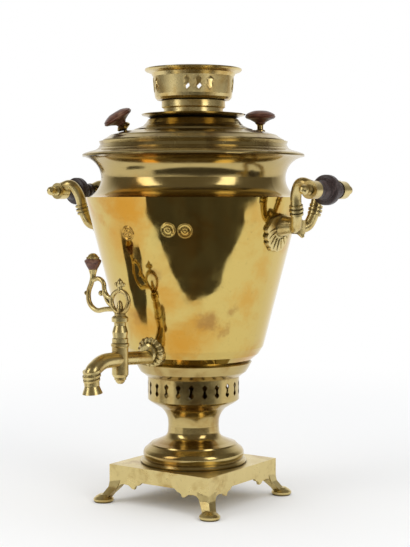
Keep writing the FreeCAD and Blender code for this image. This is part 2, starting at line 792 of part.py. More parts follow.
def make_plug():
    """Plug with its port, ball nut, scrolled key and finger knob."""
    reach = float(plug_reach)
    axis = V(0, -reach, 0)
    radius = float(plug_radius)
    plug = turned([
        (0, 154.6), (radius, 154.6), (radius, 191.8), (8.6, 191.8), (8.6, 196.0), (7.6, 197.2), (8.4, 203.0),
        (7.0, 208.0), (6.2, 210.0), (6.4, 213.0), (8.8, 214.2), (9.0, 218.0), (7.4, 220.0), (0, 220.0),
    ], axis)
    tail = turned([(0, 151.0), (2.4, 151.0), (2.4, 155.0), (0, 155.0)], axis)
    port = Part.makeCylinder(float(water_radius), 30, V(-15, -reach, float(pipe_height)), V(1, 0, 0))
    keep(computed("Plug", plug.fuse(tail).cut(port).removeSplitter()), "tap_plug")

    nut = turned([
        (0, 147.6), (2.6, 148.0), (4.6, 149.8), (5.2, 151.6), (6.4, 152.4), (6.4, 154.6), (2.4, 154.6), (2.4, 151.0), (0, 151.0),
    ], axis)
    keep(computed("TailNut", nut), "tap_tail_nut")
    keep(computed("Key", tap_key()), "tap_key")

    knob_axis = axis + V(-float(key_knob_reach), 0, 0)
    low = float(key_knob_low)
    rim = float(key_knob_radius)
    knob = turned([(0, low), (4.6, low), (6.4, low + 3), (rim, low + 8.2), (rim, low + 10.0), (7.0, low + 11.4), (0, low + 11.4)], knob_axis)
    keep(computed("KeyKnob", knob), "tap_key_knob")
    top = low + 11.4
    cap = turned([(0, top), (6.4, top), (6.2, top + 2.0), (4.4, top + 4.6), (2.2, top + 6.0), (0, top + 6.2)], knob_axis)
    keep(computed("KeyCap", cap), "tap_key_cap")


def scroll(points, radius):
    """Rod of the key: points are (across, height) from the plug axis."""
    reach = float(plug_reach)
    return bent_rod([V(across, -reach, height) for across, height in points], radius)


def bead(across, height, radius):
    return Part.makeSphere(radius, V(across, -float(plug_reach), height))


def tap_key():
    """Scrolled branch: heart loop on the plug, finger ring, socket for the knob."""
    wire = float(key_wire)
    axis = V(0, -float(plug_reach), 0)
    knob_low = float(key_knob_low)
    knob_out = -float(key_knob_reach)
    foot = Part.makeCylinder(6.0, 2.6, axis + V(0, 0, float(key_low)), V(0, 0, 1))
    heart = [(0, 221.0), (-8.6, 226.4), (-12.4, 236.6), (-7.4, 245.0), (1.0, 247.4)]
    mirrored = [(-across, height) for across, height in heart]
    branch = [
        (-9.0, 227.0), (-20.5, 226.4), (-32.0, 223.4), (-42.6, 231.0), (-43.6, 244.0), (-38.6, 254.0), (knob_out, 262.0),
    ]
    finger = [(-37.4, 256.4), (-29.0, 259.6), (-21.4, 254.4), (-21.6, 245.6), (-16.0, 239.0), (-10.8, 238.4)]
    parts = [
        scroll(heart, wire), scroll(mirrored, wire), scroll(branch, wire + 0.2), scroll(finger, wire),
        scroll([(-10.0, 229.0), (-17.0, 233.6), (-21.6, 243.0)], wire - 0.5),
        bead(0, 247.2, wire + 0.7), bead(-46.0, 242.6, 2.5), bead(-25.6, 243.2, 3.0), bead(-21.8, 243.6, wire + 0.4),
        turned([(0, 221.0), (2.8, 221.0), (3.7, 228.0), (2.4, 234.5), (0, 237.0)], axis),
        turned([(0, 246.0), (2.8, 248.0), (2.4, 251.0), (3.6, 253.6), (3.0, 257.0), (0, 260.4)], axis),
        bead(-4.6, 253.4, 2.4), bead(4.6, 253.4, 2.4),
        turned([(0, 259.5), (3.0, 259.5), (3.4, 263.0), (4.8, knob_low), (0, knob_low)], axis + V(knob_out, 0, 0)),
    ]
    below = Part.makeBox(20, 20, 20, axis + V(-10, -10, float(key_low) - 20))
    return foot.fuse(parts).cut(below).removeSplitter()


def leaf_plate():
    """Leaf that lies on the body wall: an outline pushed along +X and trimmed to the wall's form."""
    blank = new_body("LeafBlank")
    outline = new_sketch(blank, "LeafOutline", "YZ_Plane", as_size(90.0))
    half = leaf_half_width
    low = leaf_low
    draw(outline, [
        (0, low), (7.5, low + 1.6, 4.6), (13.5, low + 6.0, 4.6), (18.5, low + 12.0, 5.0), (half - 1.0, low + 20.0, 5.4),
        (half, low + 29.0), (half - 3.0, low + 36.0), (12.0, leaf_high - 1.5), (0, leaf_high + 0.5),
        (-12.0, leaf_high - 1.5), (-half + 3.0, low + 36.0), (-half, low + 29.0, 5.4), (-half + 1.0, low + 20.0, 5.0),
        (-18.5, low + 12.0, 4.6), (-13.5, low + 6.0, 4.6), (-7.5, low + 1.6),
    ])
    padded(blank, outline, 40.0)
    skin = new_body("LeafSkin")
    slope = (shoulder_radius - cone_low_radius) / (shoulder_height - cone_low)
    low_radius = cone_low_radius + slope * (280.0 - cone_low)
    high_radius = cone_low_radius + slope * (330.0 - cone_low)
    sketch = draw(new_sketch(skin, "Profile", "XZ_Plane"), [
        (low_radius, 280.0), (low_radius + leaf_thickness, 280.0),
        (high_radius + leaf_thickness, 330.0), (high_radius, 330.0),
    ])
    turn = skin.newObject("PartDesign::Revolution", "Spun")
    turn.Profile = sketch
    turn.ReferenceAxis = (sketch, ["V_Axis"])
    turn.Angle = 360
    return combined("Common", "Leaf", blank, skin)


def fork_arm(side):
    """One arm of the fork, curling up and over to its eye. side is +1 or -1 along Y."""
    path = [
        (131.0, -2.0, 316.0), (142.0, 11.0, 310.6), (147.4, 18.4, 327.0), (149.0, 23.6, 349.0),
        (157.4, 28.6, 362.0), (171.0, 30.0, 357.4),
    ]
    arm = bent_rod([V(out, side * along, height) for out, along, height in path], float(arm_radius))
    rings = []
    for height, size in ((326.5, 7.3), (330.6, 7.7), (334.8, 7.3)):
        out = 147.4 + (height - 327.0) * 0.1
        along = 18.4 + (height - 327.0) * 0.3
        rings.append(Part.makeCylinder(size, 2.2, V(out, side * along, height), V(0.1, side * 0.3, 1)))
    eye = Part.makeCylinder(
        float(eye_radius), 2 * float(eye_half_width),
        V(float(eye_reach), side * float(eye_offset) - float(eye_half_width), float(eye_height)), V(0, 1, 0))
    return arm.fuse(rings + [eye])


def make_handles():
    """Right handle from its pieces, then the left one as its mirror image."""
    neck = Part.makeCone(13.5, 6.4, 36.0, V(107.0, 0, 314.0), V(1, 0, 0.03))
    boss = Part.makeCylinder(7.4, 15.0, V(138.6, 0, 306.0), V(0.05, 0, 1))
    tab = Part.makeCone(5.4, 1.6, 9.0, V(140.0, 0, 310.0), V(0.5, 0, -0.86))
    casting = computed("Fork", neck.fuse([boss, fork_arm(1), fork_arm(-1), tab]).removeSplitter())
    joined = combined("Fuse", "LeafAndFork", leaf_plate(), casting)
    seated = combined("Cut", "SeatedBracket", joined, doc.getObject("BodyForm"))
    holes = [Part.makeCylinder(float(rod_radius), 100.0, V(float(eye_reach), -50.0, float(eye_height)), V(0, 1, 0))]
    for height in screw_heights():
        height = float(height)
        holes.append(Part.makeCylinder(float(screw_radius), screw_tip(height), V(0, 0, height), V(1, 0, 0)))
    drilled = combined("Cut", "Bracket", seated, computed("BracketHoles", Part.makeCompound(holes)))
    keep(drilled, "handle_bracket_right")

    rod = computed("Rod", Part.makeCylinder(
        float(rod_radius), 2 * float(rod_half_length),
        V(float(eye_reach), -float(rod_half_length), float(eye_height)), V(0, 1, 0)))
    keep(rod, "handle_rod_right")
    keep(grip(), "handle_grip_right")

    for source, label in ((drilled, "handle_bracket_left"), (rod, "handle_rod_left"),
                          (doc.getObject("GripPlaced"), "handle_grip_left")):
        copy = doc.addObject("Part::Mirroring", "Mirrored")
        copy.Source = source
        copy.Normal = V(1, 0, 0)
        copy.Base = V(0, 0, 0)
        keep(copy, label)
    keep(computed("BallNuts", ball_nuts()), "handle_ball_nuts")
    keep(computed("Screws", handle_screws()), "handle_screws")


def wall_radius(height):
    """Outside radius of the body's cone at a height."""
    slope = (float(shoulder_radius) - float(cone_low_radius)) / (float(shoulder_height) - float(cone_low))
    return float(cone_low_radius) + slope * (height - float(cone_low))


def screw_tip(height):
    """Distance from the axis to the tip of a handle screw, which ends inside the leaf."""
    skin = 1.0
    return wall_radius(height) + float(leaf_thickness) - skin


def across_profile(profile, spot):
    """Solid turned about a line along Y through spot, from (radius, along) corners."""
    points = [V(radius, along, 0) for radius, along in profile]
    solid = Part.Face(Part.makePolygon(points + [points[0]])).revolve(V(0, 0, 0), V(0, 1, 0), 360)
    solid.translate(spot)
    return solid


def grip():
    """Turned wooden grip, bored for the rod, with a large disc in the middle."""
    bore = float(rod_radius)
    half = float(grip_half_length)
    disc = float(grip_disc_radius)
    side = [
        (bore, half), (7.8, half), (9.0, half - 1.6), (9.0, half - 6.0), (7.8, half - 8.0), (9.8, half - 12.0),
        (10.6, half - 15.0), (12.2, half - 16.0), (12.6, half - 18.0), (disc - 0.8, half - 19.0), (disc, half - 20.6),
    ]
    other = [(radius, -along) for radius, along in reversed(side)]
    solid = across_profile(side + other, V(float(eye_reach), 0, float(eye_height)))
    return computed("GripPlaced", solid)


def ball_nuts():
    """Collar and ball on each rod end, both handles."""
    start = float(eye_offset + eye_half_width)
    end = float(rod_half_length)
    bore = float(rod_radius)
    profile = [
        (bore, start), (5.2, start), (5.4, start + 1.8), (3.8, start + 3.2), (3.6, start + 6.0), (5.0, start + 7.6),
        (5.4, start + 10.0), (4.6, start + 13.0), (2.4, start + 15.2), (0, start + 15.8), (0, end), (bore, end),
    ]
    solids = []
    for out in (float(eye_reach), -float(eye_reach)):
        spot = V(out, 0, float(eye_height))
        solids.append(across_profile(profile, spot))
        mirrored = [(radius, -along) for radius, along in reversed(profile)]
        solids.append(across_profile(mirrored, spot))
    return Part.makeCompound(solids)


def handle_screws():
    """Screws from inside the body wall into the brackets."""
    solids = []
    for side in (1, -1):
        for height in map(float, screw_heights()):
            inside = wall_radius(height) - float(wall)
            out = V(side, 0, 0)
            head = Part.makeCylinder(4.2, 2.6, V(side * (inside - 4.0), 0, height), out)
            length = screw_tip(height) - inside + 3.0
            shank = Part.makeCylinder(float(screw_radius), length, V(side * (inside - 3.0), 0, height), out)
            solids.append(head.fuse(shank).removeSplitter())
    return Part.makeCompound(solids)


def check_document():
    """Stop if any object failed or any sub-part's shape is unusable."""
    for item in doc.Objects:
        if "Invalid" in item.State or "Error" in item.State:
            raise RuntimeError(f"{item.Name} ({item.Label}) failed: {item.State}")
    for piece in pieces:
        if piece.Shape.isNull() or not piece.Shape.isValid():
            raise RuntimeError(f"{piece.Label} has no valid shape")


def write_pieces():
    os.makedirs("parts", exist_ok=True)
    for piece in pieces:
        piece.Shape.exportStep(os.path.join("parts", f"{piece.Label}.step"))
        print(f"{piece.Label}: {len(piece.Shape.Solids)} solid, {piece.Shape.Volume:.0f} mm3")


make_plinth()
make_pedestal()
make_saucer()
make_body()
make_flue()
make_lid()
make_crown()
make_tap()
make_handles()
doc.recompute()
check_document()
write_pieces()
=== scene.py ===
# %% [markdown]
# # A charcoal samovar in old brass
# This lesson dresses a brass samovar: a tapered water body on a waisted pedestal and a cast plinth,
# with a tap in front, a clamped wooden grip on each side, a stepped lid and a pierced crown that
# holds the teapot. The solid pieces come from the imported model, so their sizes are already right.
# What is left for Blender is the surface of each metal and wood, a few stamped and engraved
# details, and a plain studio, because polished brass shows little but what stands round it.

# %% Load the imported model
import math
import bpy
from mathutils import Matrix, Vector


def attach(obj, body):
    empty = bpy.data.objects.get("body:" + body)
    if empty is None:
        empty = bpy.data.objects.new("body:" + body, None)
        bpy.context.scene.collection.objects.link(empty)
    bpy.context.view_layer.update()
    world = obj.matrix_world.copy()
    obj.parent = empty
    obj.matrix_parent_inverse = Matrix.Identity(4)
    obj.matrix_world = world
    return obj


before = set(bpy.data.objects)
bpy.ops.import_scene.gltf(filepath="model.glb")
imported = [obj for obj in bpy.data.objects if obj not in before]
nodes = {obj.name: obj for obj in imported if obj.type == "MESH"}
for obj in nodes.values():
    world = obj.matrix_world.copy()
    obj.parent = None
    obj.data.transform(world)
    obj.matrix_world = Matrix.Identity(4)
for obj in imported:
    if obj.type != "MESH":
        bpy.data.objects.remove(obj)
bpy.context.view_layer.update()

scene = bpy.context.scene

# %% [markdown]
# ## Colour, and one way to add a node
# Colours are written as the sRGB hex values that an eye reads off a picture. Shaders work in linear
# light, so one function converts them. Another adds a shader node with its settings and its
# sockets: a socket is given a number, a colour or the output of an earlier node. A Mix node that
# mixes colours takes them on its inputs 6 and 7 and gives the result on its output 2.

# %% Colour and node helpers
MM = 0.001


def linear(code):
    """An sRGB hex colour such as "D8BE7C" as linear RGBA."""
    parts = [int(code[i:i + 2], 16) / 255 for i in (0, 2, 4)]
    lit = [p / 12.92 if p <= 0.04045 else ((p + 0.055) / 1.055) ** 2.4 for p in parts]
    return (*lit, 1.0)


def add(tree, kind, sockets=None, **settings):
    """A new shader node with its settings, and its sockets set or linked."""
    node = tree.nodes.new("ShaderNode" + kind)
    for name, value in settings.items():
        setattr(node, name, value)
    for name, value in (sockets or {}).items():
        if isinstance(value, bpy.types.NodeSocket):
            tree.links.new(value, node.inputs[name])
        else:
            node.inputs[name].default_value = value
    return node


def new_material(name):
    """An empty material: its node tree, and the output node to link a shader to."""
    material = bpy.data.materials.new(name)
    material.use_nodes = True
    material.node_tree.nodes.clear()
    return material, material.node_tree, add(material.node_tree, "OutputMaterial")


print("brass yellow is", [round(v, 3) for v in linear("D8BE7C")[:3]])

# %% [markdown]
# ## The camera
# The photograph looks from a little above the middle of the samovar, turned 35 degrees towards the
# right handle, from about a metre and a half. The lens is long, so upright lines stay nearly upright.

# %% Camera
CAMERA_PLACE = (0.8587, -1.2062, 0.3433)
CAMERA_TILT = math.radians(86.73)
CAMERA_TURN = math.radians(34.94)
LENS_MM = 85.64
SENSOR_MM = 36

camera = bpy.data.objects.new("camera", bpy.data.cameras.new("camera"))
camera.location = CAMERA_PLACE
camera.rotation_euler = (CAMERA_TILT, 0, CAMERA_TURN)
camera.data.lens = LENS_MM
camera.data.sensor_width = SENSOR_MM
scene.collection.objects.link(camera)
scene.camera = camera
print("camera is", round(Vector(CAMERA_PLACE).length, 3), "m from the foot of the axis")

# %% [markdown]
# ## White paper underfoot, and dark cloth in front
# The samovar stands on white paper that runs up behind it. Paper is a matt surface, so a diffuse
# shader is enough near the object, where the shadow falls. Further off the camera and the polished
# metal see plain white, as an evenly lit backdrop gives.
# Polished brass needs something dark to mirror, or it looks like yellow plastic. A photographer
# lays dark cloth just outside the picture: here one wide cloth lies towards the camera, which
# draws the dark tongue down the body, and a small one lies to the left. Only mirror rays see them.
# Their shape is worked backwards from what the brass shows. The edge of each dark patch is read off
# the photograph, in its pixels. The ray from the camera through such a pixel meets the body's wall,
# which is a cone, and is mirrored down to the floor, where a corner of the cloth has to lie.

# %% Paper floor
FLOOR_SIZE = 12.0
PAPER = "FBFBFA"
SHADOW_REACH = (0.42, 1.25)

paper, tree, output = new_material("matt white background paper")
place = add(tree, "TexCoord").outputs["Object"]
far = add(tree, "VectorMath", {0: place}, operation="LENGTH")
fade = add(tree, "MapRange", {"Value": far.outputs["Value"], "From Min": SHADOW_REACH[0],
                              "From Max": SHADOW_REACH[1]}, interpolation_type="SMOOTHSTEP")
rays = add(tree, "LightPath")
seen = add(tree, "Math", {0: rays.outputs["Is Camera Ray"], 1: rays.outputs["Is Glossy Ray"]},
           operation="MAXIMUM")
share = add(tree, "Math", {0: fade.outputs["Result"], 1: seen.outputs[0]}, operation="MULTIPLY")
matt = add(tree, "BsdfDiffuse", {"Color": linear(PAPER)})
white = add(tree, "Emission", {"Color": (1, 1, 1, 1), "Strength": 1.0})
mixed = add(tree, "MixShader", {0: share.outputs[0], 1: matt.outputs[0], 2: white.outputs[0]})
tree.links.new(mixed.outputs[0], output.inputs["Surface"])


def flat_sheet(name, corners, height, material):
    """A flat stage sheet with the given corners, which are (x, y) in metres."""
    mesh = bpy.data.meshes.new(name)
    mesh.from_pydata([(x, y, height) for x, y in corners], [], [tuple(range(len(corners)))])
    sheet = bpy.data.objects.new(name, mesh)
    sheet.data.materials.append(material)
    scene.collection.objects.link(sheet)
    return sheet


half = FLOOR_SIZE / 2
flat_sheet("paper_floor", [(-half, -half), (half, -half), (half, half), (-half, half)], 0, paper)
print("floor is", FLOOR_SIZE, "m square")

# %% The body wall as a cone
# Two points of the wall, as (radius, height) in mm
WALL_LOW = (79.8, 177.0)
WALL_HIGH = (122.6, 345.6)
WALL_LEAN = math.atan2(WALL_HIGH[0] - WALL_LOW[0], WALL_HIGH[1] - WALL_LOW[1])

print("wall leans out by", round(math.degrees(WALL_LEAN), 1), "degrees")

# %% From a pixel of the photograph to the floor
PHOTO_SIZE = (410, 547)


def camera_way(pixel):
    """Direction from the camera through a pixel of the photograph."""
    step = SENSOR_MM / max(PHOTO_SIZE)
    way = Vector(((pixel[0] - PHOTO_SIZE[0] / 2) * step, (PHOTO_SIZE[1] / 2 - pixel[1]) * step,
                  -LENS_MM))
    way.rotate(camera.rotation_euler)
    return way.normalized()


def wall_meeting(start, way):
    """First point, in mm, where a ray meets the cone: the nearer root of a quadratic."""
    slope = math.tan(WALL_LEAN)
    radius = WALL_LOW[0] + slope * (start.z - WALL_LOW[1])
    squared = way.x ** 2 + way.y ** 2 - (slope * way.z) ** 2
    half_linear = start.x * way.x + start.y * way.y - radius * slope * way.z
    constant = start.x ** 2 + start.y ** 2 - radius ** 2
    return start - way * ((half_linear + math.sqrt(half_linear ** 2 - squared * constant)) / squared)


def mirrored_spot(pixel):
    """The spot of the floor, in metres, that the polished wall shows at a pixel."""
    way = camera_way(pixel)
    place = wall_meeting(Vector(CAMERA_PLACE) / MM, way)
    outward = Vector((place.x, place.y, 0)).normalized() * math.cos(WALL_LEAN)
    mirrored = way.reflect(outward - Vector((0, 0, math.sin(WALL_LEAN))))
    spot = place - mirrored * (place.z / mirrored.z)
    return (spot.x * MM, spot.y * MM)


TONGUE_TIP = (203, 298.5)
print("the tongue's tip lies at", [round(v, 2) for v in mirrored_spot(TONGUE_TIP)], "m")

# %% Dark cloths that only mirror rays see
CLOTH_LIFT = 0.5 * MM
FADED_MM = 60
# The edges of the two dark patches, in pixels of the photograph
TONGUE_EDGE = ((147, 202), (146, 216), (150, 222), (160, 235), (163, 250), (167, 262), (172, 272),
               (183, 292), (192, 297.5), TONGUE_TIP, (212, 294), (220, 285), (229, 258),
               (238, 236), (243, 220), (248, 210), (258, 202))
SIDE_EDGE = ((121, 235), (122, 245), (127, 270), (130, 290), (134, 305), (140, 316), (147, 319),
             (147, 300), (142, 262), (139, 250), (130, 248), (126, 236))
# The front cloth's other corners lie out of the picture, behind the camera, in metres
FAR_CORNERS = [(1.5, 0.6), (2.4, -0.2), (2.4, -2.6), (-0.6, -2.6)]

front_corners = [mirrored_spot(pixel) for pixel in TONGUE_EDGE] + FAR_CORNERS
side_corners = [mirrored_spot(pixel) for pixel in SIDE_EDGE]

cloth, tree, output = new_material("dark grey studio cloth")
fading = add(tree, "TexNoise", {"Scale": 1 / (FADED_MM * MM), "Detail": 3.0})
shade = add(tree, "Mix", {0: fading.outputs["Fac"], 6: linear("36332E"), 7: linear("57534B")},
            data_type="RGBA")
matt = add(tree, "BsdfDiffuse", {"Color": shade.outputs[2]})
tree.links.new(matt.outputs[0], output.inputs["Surface"])

for name, corners in (("front_cloth", front_corners), ("side_cloth", side_corners)):
    sheet = flat_sheet(name, corners, CLOTH_LIFT, cloth)
    sheet.visible_camera = False
    sheet.visible_diffuse = False
    sheet.visible_shadow = False
    print(name, "has", len(corners), "corners")

# %% [markdown]
# ## The room
# The world is white to the camera. Mirror rays that go up or back past the camera meet a darker
# room, and those that go past the samovar meet the white backdrop, so the rounded brass gets the
# light edges and darker middle that the eye expects. Diffuse light comes evenly from all round.

# %% World
BACK_WAY = (-0.574, 0.819, 0.0)
ROOM = "6F695E"
BACKDROP = "FFFFFF"
FILL = "F7F8FA"
FILL_LIGHT = 0.95
BACKDROP_EDGE = (0.30, 0.95)

world = bpy.data.worlds.new("studio room")
world.use_nodes = True
scene.world = world
tree = world.node_tree
tree.nodes.clear()
way = add(tree, "TexCoord").outputs["Generated"]
behind = add(tree, "VectorMath", {0: way, 1: BACK_WAY}, operation="DOT_PRODUCT")
edge = add(tree, "MapRange", {"Value": behind.outputs["Value"], "From Min": BACKDROP_EDGE[0],
                              "From Max": BACKDROP_EDGE[1]}, interpolation_type="SMOOTHSTEP")
mirrored = add(tree, "Mix", {0: edge.outputs["Result"], 6: linear(ROOM), 7: linear(BACKDROP)},
               data_type="RGBA")
rays = add(tree, "LightPath")
seen = add(tree, "Mix", {0: rays.outputs["Is Camera Ray"], 6: mirrored.outputs[2],
                         7: linear(BACKDROP)}, data_type="RGBA")
seen_light = add(tree, "Background", {"Color": seen.outputs[2], "Strength": 1.0})
fill = add(tree, "Background", {"Color": linear(FILL), "Strength": FILL_LIGHT})
seen_or_mirrored = add(tree, "Math", {0: rays.outputs["Is Camera Ray"],
                                      1: rays.outputs["Is Glossy Ray"]}, operation="MAXIMUM")
either = add(tree, "MixShader", {0: seen_or_mirrored.outputs[0], 1: fill.outputs[0],
                                 2: seen_light.outputs[0]})
add(tree, "OutputWorld", {"Surface": either.outputs[0]})
print("fill light is", FILL_LIGHT)

# %% [markdown]
# ## Soft lamps
# Two wide soft boxes stand left and right of the camera. On the stem and the neck they show as the
# two upright glints that the photograph has. A box's brightness is its power over its area, so
# large boxes of low power light the brass gently and still show clearly in it.

# %% Lamps
LAMPS = (("left_box", (-0.85, -1.85, 1.25)), ("right_box", (2.0, -0.42, 1.2)))
BOX_SIZE = (0.8, 1.5)
BOX_WATTS = 9.5
AIM = Vector((0, 0, 0.26))

for name, where in LAMPS:
    light = bpy.data.lights.new(name, "AREA")
    light.shape = "RECTANGLE"
    light.size, light.size_y = BOX_SIZE
    light.energy = BOX_WATTS
    lamp = bpy.data.objects.new(name, light)
    lamp.location = where
    lamp.rotation_mode = "QUATERNION"
    lamp.rotation_quaternion = (AIM - Vector(where)).to_track_quat("-Z", "Y")
    scene.collection.objects.link(lamp)
    print(name, "is", round((Vector(where) - AIM).length, 2), "m away")

# %% [markdown]
# ## Tarnish stains
# Years of steam, drips and handling have left stains on the body: orange ones where the brass has
# begun to tarnish, and a few brown spots. They stand at fixed places, so each is a soft ball in
# space, given by its middle, its reach and its strength, that colours the wall where it meets it.
# Noise moves every point a little before its distance is measured, which makes the edges ragged.

# %% Stains at their places on the body
STAIN_RAGGED = 34 * MM
STAIN_RIPPLE_MM = 13
STAIN_CORE = 0.15
# Each stain: its middle in mm, its reach in mm and its strength
ORANGE_STAINS = (((-3, -120, 335), 44, 0.95), ((-16, -112, 300), 40, 0.6),
                 ((38, -73, 186), 32, 0.8), ((30, -92, 236), 26, 0.6), ((91, -27, 236), 24, 0.55),
                 ((-9, -86, 205), 30, 0.7), ((101, -14, 267), 20, 0.4), ((110, -42, 327), 24, 0.4),
                 ((60, -66, 196), 34, 0.4))
BROWN_STAINS = (((63, -62, 211), 17, 0.8), ((82, -41, 224), 10, 0.6), ((73, -45, 202), 9, 0.5),
                ((-14, -88, 214), 14, 0.5), ((20, -100, 262), 10, 0.5))


def stain_mask(tree, place, stains):
    """How deep a point lies in one of the stains, from 0 to 1, with ragged edges."""
    wobble = add(tree, "TexNoise", {"Vector": place, "Scale": 1 / (STAIN_RIPPLE_MM * MM),
                                    "Detail": 5.0, "Roughness": 0.65})
    shift = add(tree, "VectorMath", {0: wobble.outputs["Color"], 1: (0.5, 0.5, 0.5)},
                operation="SUBTRACT")
    moved = add(tree, "VectorMath", {0: shift.outputs[0], 1: [STAIN_RAGGED] * 3, 2: place},
                operation="MULTIPLY_ADD")
    deepest = None
    for spot, reach, strength in stains:
        middle = tuple(value * MM for value in spot)
        apart = add(tree, "VectorMath", {0: moved.outputs[0], 1: middle}, operation="DISTANCE")
        depth = add(tree, "MapRange", {"Value": apart.outputs["Value"], "From Min": reach * MM,
                                       "From Max": STAIN_CORE * reach * MM,
                                       "To Max": strength},
                    interpolation_type="SMOOTHSTEP")
        if deepest is None:
            deepest = depth
        else:
            deepest = add(tree, "Math", {0: deepest.outputs[0], 1: depth.outputs[0]},
                          operation="MAXIMUM")
    return deepest.outputs[0]


print(len(ORANGE_STAINS) + len(BROWN_STAINS), "stains")

# %% [markdown]
# ## Spun brass
# The body, pedestal, saucer, lid and crown are spun from sheet brass and burnished on the lathe, and
# all but the lid were later rubbed bright by hand. Sheet brass is copper with a third of zinc: a
# full metal, pale yellow, with no colour but in its mirror image. Three things keep it from looking
# new. Warm tarnish stands in clouds a few centimetres wide. The mirror is soft in some places and
# sharp in others. And the sheet is never quite even: the spinning tool left faint rings, and use
# left shallow dents. Real rings are under a millimetre apart, too fine to show, so they are drawn
# coarser here.
# The body's cone is a clear mirror, and its neck, above the shoulder, is satin, its colour darkened
# there as painted shade. The pedestal and rings are duller than the cone, and the crown is rubbed to
# an even satin.

# %% Colours of brass, clean and tarnished
MIRROR_TOP = 0.345
SATIN_FROM = 0.350
# The neck's colour: painted shade
NECK_PAINTED_SHADE = "B9A36A"
STAIN_COLOURS = ((ORANGE_STAINS, "CC9233"), (BROWN_STAINS, "A47C45"))


def mixed_colour(tree, share, first, second):
    """Two colours mixed by a share from 0 to 1."""
    return add(tree, "Mix", {0: share, 6: first, 7: second}, data_type="RGBA").outputs[2]


def tarnished(tree, place, clean, warm, clouds_mm):
    """Clean brass with clouds of warm tarnish."""
    clouds = add(tree, "TexNoise", {"Vector": place, "Scale": 1 / (clouds_mm * MM), "Detail": 5.0,
                                    "Roughness": 0.6, "Distortion": 0.4})
    warmth = add(tree, "MapRange", {"Value": clouds.outputs["Fac"], "From Min": 0.45,
                                    "From Max": 0.68}, interpolation_type="SMOOTHSTEP")
    return mixed_colour(tree, warmth.outputs["Result"], clean, warm)


def neck_share(tree, place):
    """1 on the satin neck of the body, 0 on the mirror cone below it."""
    height = add(tree, "SeparateXYZ", {"Vector": place}).outputs["Z"]
    share = add(tree, "MapRange", {"Value": height, "From Min": MIRROR_TOP, "From Max": SATIN_FROM})
    return share.outputs["Result"]


def stained_body(tree, place, tone, neck):
    """The body's colour: painted shade on its neck, and stains at fixed places."""
    # The neck's colour is darkened here: painted shade.
    tone = mixed_colour(tree, neck, tone, linear(NECK_PAINTED_SHADE))
    for stains, colour in STAIN_COLOURS:
        tone = mixed_colour(tree, stain_mask(tree, place, stains), tone, linear(colour))
    return tone


print("satin neck starts", SATIN_FROM, "m up")

# %% Dark specks, painted shade in the nooks, mirror softness and relief of brass
SPECK_MM = 5
NOOK_MM = 4
NOOK_SHADE_DEPTH = 0.35
HAZE_MM = 18
NECK_SOFTER = 0.10
RING_MM = 1.6
RING_STRETCH = (0.06, 0.06, 1.0)
DENT_MM = 45


def add_specks_and_nook_shade(tree, place, tone, dark, speck_and_shade_depth):
    """Dark specks, and painted shade in the nooks: the darkened colour, and how deep the shade lies.
    """
    specks = add(tree, "TexNoise", {"Vector": place, "Scale": 1 / (SPECK_MM * MM), "Detail": 6.0,
                                    "Roughness": 0.75})
    spots = add(tree, "MapRange", {"Value": specks.outputs["Fac"], "From Min": 0.60,
                                   "From Max": 0.74, "To Max": speck_and_shade_depth})
    spotted = mixed_colour(tree, spots.outputs["Result"], tone, dark)
    # The AO node finds the nooks, and the colour is darkened there: this is painted shade.
    nook = add(tree, "AmbientOcclusion", {"Distance": NOOK_MM * MM}, samples=4)
    nook_shade = add(tree, "MapRange", {"Value": nook.outputs["AO"], "From Min": 0.80, "From Max": 0.35,
                                  "To Max": NOOK_SHADE_DEPTH + speck_and_shade_depth})
    return mixed_colour(tree, nook_shade.outputs["Result"], spotted, dark), nook_shade.outputs["Result"]


def softness(tree, place, nook_shade, rough):
    """Roughness that wanders between two values and rises in the nooks that carry painted shade."""
    haze = add(tree, "TexNoise", {"Vector": place, "Scale": 1 / (HAZE_MM * MM), "Detail": 4.0,
                                  "Roughness": 0.65})
    soft = add(tree, "MapRange", {"Value": haze.outputs["Fac"], "From Min": 0.35,
                                  "From Max": 0.70, "To Min": rough[0], "To Max": rough[1]})
    return add(tree, "Math", {0: nook_shade, 1: NOOK_SHADE_DEPTH, 2: soft.outputs["Result"]},
               operation="MULTIPLY_ADD").outputs[0]


def spun_relief(tree, place, rings, dents):
    """Faint rings from the lathe, and shallow dents, as a bumped normal."""
    squeezed = add(tree, "VectorMath", {0: place, 1: RING_STRETCH}, operation="MULTIPLY")
    turned = add(tree, "TexNoise", {"Vector": squeezed.outputs[0], "Scale": 1 / (RING_MM * MM),
                                    "Detail": 2.0})
    ring_relief = add(tree, "Bump", {"Height": turned.outputs["Fac"], "Strength": 1.0,
                                     "Distance": rings})
    waves = add(tree, "TexNoise", {"Vector": place, "Scale": 1 / (DENT_MM * MM), "Detail": 1.0})
    return add(tree, "Bump", {"Height": waves.outputs["Fac"], "Strength": 1.0, "Distance": dents,
                              "Normal": ring_relief.outputs[0]}).outputs[0]


print("lathe rings are", RING_MM, "mm apart")

